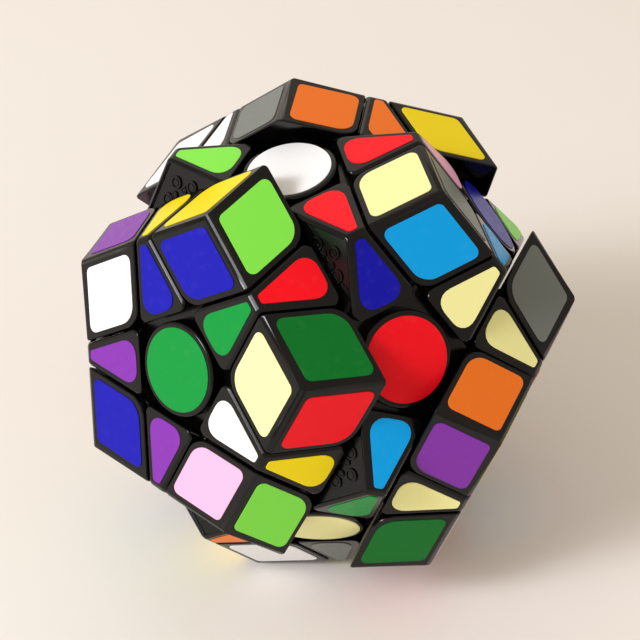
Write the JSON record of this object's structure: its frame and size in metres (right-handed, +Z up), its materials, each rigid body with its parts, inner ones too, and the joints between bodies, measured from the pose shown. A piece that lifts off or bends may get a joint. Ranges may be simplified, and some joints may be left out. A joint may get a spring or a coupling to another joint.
{
  "type": "twisty puzzle",
  "caption": "Twelve-sided twisty puzzle with sprung face centres, edge and corner cubies, three of its layers part way through a turn.",
  "frame": {"origin": "centre of the core, where all twelve face axes meet; also the centroid of the solids", "axes": "+Z up as it rests on three of its tips, -Y the side that the cream centre faces"},
  "size_m": [0.0816, 0.0825, 0.0782],
  "materials": {
    "black_abs": "glossy moulded black",
    "core_plastic": "moulded dark grey",
    "steel": "bright zinc-plated",
    "vinyl_green": "glossy self-adhesive vinyl",
    "vinyl_pink": "glossy self-adhesive vinyl",
    "vinyl_yellow": "glossy self-adhesive vinyl",
    "vinyl_white": "glossy self-adhesive vinyl",
    "vinyl_red": "glossy self-adhesive vinyl",
    "vinyl_blue": "glossy self-adhesive vinyl",
    "vinyl_cream": "glossy self-adhesive vinyl",
    "vinyl_purple": "glossy self-adhesive vinyl",
    "vinyl_lime": "glossy self-adhesive vinyl",
    "vinyl_grey": "glossy self-adhesive vinyl",
    "vinyl_orange": "glossy self-adhesive vinyl",
    "vinyl_sky": "glossy self-adhesive vinyl"
  },
  "bodies": {
    "core_and_locked_pieces": {"core": "core_plastic", "tension_screws": "steel", "spring_washers": "steel", "springs": "steel", "locked_corners": "black_abs", "locked_edges": "black_abs"},
    "green_layer": {"corner_green_white_red": "black_abs", "corner_green_white_purple": "black_abs", "corner_green_red_cream": "black_abs", "corner_green_cream_sky": "black_abs", "corner_green_purple_sky": "black_abs", "edge_green_white": "black_abs", "edge_green_red": "black_abs", "edge_green_cream": "black_abs", "edge_green_purple": "black_abs", "edge_green_sky": "black_abs"},
    "pink_layer": {"corner_pink_red_blue": "black_abs", "corner_pink_red_cream": "black_abs", "corner_pink_blue_lime": "black_abs", "corner_pink_cream_grey": "black_abs", "corner_pink_lime_grey": "black_abs", "edge_pink_red": "black_abs", "edge_pink_blue": "black_abs", "edge_pink_cream": "black_abs", "edge_pink_lime": "black_abs", "edge_pink_grey": "black_abs"},
    "yellow_layer": {"corner_yellow_white_blue": "black_abs", "corner_yellow_white_purple": "black_abs", "corner_yellow_blue_lime": "black_abs", "corner_yellow_purple_orange": "black_abs", "corner_yellow_lime_orange": "black_abs", "edge_yellow_white": "black_abs", "edge_yellow_blue": "black_abs", "edge_yellow_purple": "black_abs", "edge_yellow_lime": "black_abs", "edge_yellow_orange": "black_abs"},
    "green_centre": {"centre_base_green": "black_abs", "centre_cap_green": "black_abs"},
    "pink_centre": {"centre_base_pink": "black_abs", "centre_cap_pink": "black_abs"},
    "yellow_centre": {"centre_base_yellow": "black_abs", "centre_cap_yellow": "black_abs"},
    "white_centre": {"centre_base_white": "black_abs", "centre_cap_white": "black_abs"},
    "red_centre": {"centre_base_red": "black_abs", "centre_cap_red": "black_abs"},
    "blue_centre": {"centre_base_blue": "black_abs", "centre_cap_blue": "black_abs"},
    "cream_centre": {"centre_base_cream": "black_abs", "centre_cap_cream": "black_abs"},
    "purple_centre": {"centre_base_purple": "black_abs", "centre_cap_purple": "black_abs"},
    "lime_centre": {"centre_base_lime": "black_abs", "centre_cap_lime": "black_abs"},
    "grey_centre": {"centre_base_grey": "black_abs", "centre_cap_grey": "black_abs"},
    "orange_centre": {"centre_base_orange": "black_abs", "centre_cap_orange": "black_abs"},
    "sky_centre": {"centre_base_sky": "black_abs", "centre_cap_sky": "black_abs"}
  },
  "joints": [
    {"name": "green_layer_turn", "type": "hinge", "parent": "core_and_locked_pieces", "child": "green_layer", "pos_m": [0, 0, 0], "axis": [-0.6612, -0.6852, 0.3054], "continuous": true},
    {"name": "pink_layer_turn", "type": "hinge", "parent": "core_and_locked_pieces", "child": "pink_layer", "pos_m": [0, 0, 0], "axis": [0.889, -0.3413, -0.3054], "continuous": true},
    {"name": "yellow_layer_turn", "type": "hinge", "parent": "core_and_locked_pieces", "child": "yellow_layer", "pos_m": [0, 0, 0], "axis": [0, 0.8713, 0.4907], "continuous": true},
    {"name": "green_centre_lift", "type": "slide", "parent": "green_layer", "child": "green_centre", "axis": [-0.6612, -0.6852, 0.3054], "range_m": [0, 0.0005], "stiffness_N_per_m": 800, "springref_m": -0.002, "deforming": ["springs"]},
    {"name": "pink_centre_lift", "type": "slide", "parent": "pink_layer", "child": "pink_centre", "axis": [0.889, -0.3413, -0.3054], "range_m": [0, 0.0005], "stiffness_N_per_m": 800, "springref_m": -0.002, "deforming": ["springs"]},
    {"name": "yellow_centre_lift", "type": "slide", "parent": "yellow_layer", "child": "yellow_centre", "axis": [0, 0.8713, 0.4907], "range_m": [0, 0.0005], "stiffness_N_per_m": 800, "springref_m": -0.002, "deforming": ["springs"]},
    {"name": "white_centre_lift", "type": "slide", "parent": "core_and_locked_pieces", "child": "white_centre", "axis": [-0.1809, -0.0401, 0.9827], "range_m": [0, 0.0005], "stiffness_N_per_m": 800, "springref_m": -0.002, "deforming": ["springs"]},
    {"name": "red_centre_lift", "type": "slide", "parent": "core_and_locked_pieces", "child": "red_centre", "axis": [0.3685, -0.7896, 0.4907], "range_m": [0, 0.0005], "stiffness_N_per_m": 800, "springref_m": -0.002, "deforming": ["springs"]},
    {"name": "blue_centre_lift", "type": "slide", "parent": "core_and_locked_pieces", "child": "blue_centre", "axis": [0.7772, 0.1724, 0.6052], "range_m": [0, 0.0005], "stiffness_N_per_m": 800, "springref_m": -0.002, "deforming": ["springs"]},
    {"name": "cream_centre_lift", "type": "slide", "parent": "core_and_locked_pieces", "child": "cream_centre", "axis": [0, -0.8713, -0.4907], "range_m": [0, 0.0005], "stiffness_N_per_m": 800, "springref_m": -0.002, "deforming": ["springs"]},
    {"name": "purple_centre_lift", "type": "slide", "parent": "core_and_locked_pieces", "child": "purple_centre", "axis": [-0.889, 0.3413, 0.3054], "range_m": [0, 0.0005], "stiffness_N_per_m": 800, "springref_m": -0.002, "deforming": ["springs"]},
    {"name": "lime_centre_lift", "type": "slide", "parent": "core_and_locked_pieces", "child": "lime_centre", "axis": [0.6612, 0.6852, -0.3054], "range_m": [0, 0.0005], "stiffness_N_per_m": 800, "springref_m": -0.002, "deforming": ["springs"]},
    {"name": "grey_centre_lift", "type": "slide", "parent": "core_and_locked_pieces", "child": "grey_centre", "axis": [0.1809, 0.0401, -0.9827], "range_m": [0, 0.0005], "stiffness_N_per_m": 800, "springref_m": -0.002, "deforming": ["springs"]},
    {"name": "orange_centre_lift", "type": "slide", "parent": "core_and_locked_pieces", "child": "orange_centre", "axis": [-0.3685, 0.7896, -0.4907], "range_m": [0, 0.0005], "stiffness_N_per_m": 800, "springref_m": -0.002, "deforming": ["springs"]},
    {"name": "sky_centre_lift", "type": "slide", "parent": "core_and_locked_pieces", "child": "sky_centre", "axis": [-0.7772, -0.1724, -0.6052], "range_m": [0, 0.0005], "stiffness_N_per_m": 800, "springref_m": -0.002, "deforming": ["springs"]}
  ]
}
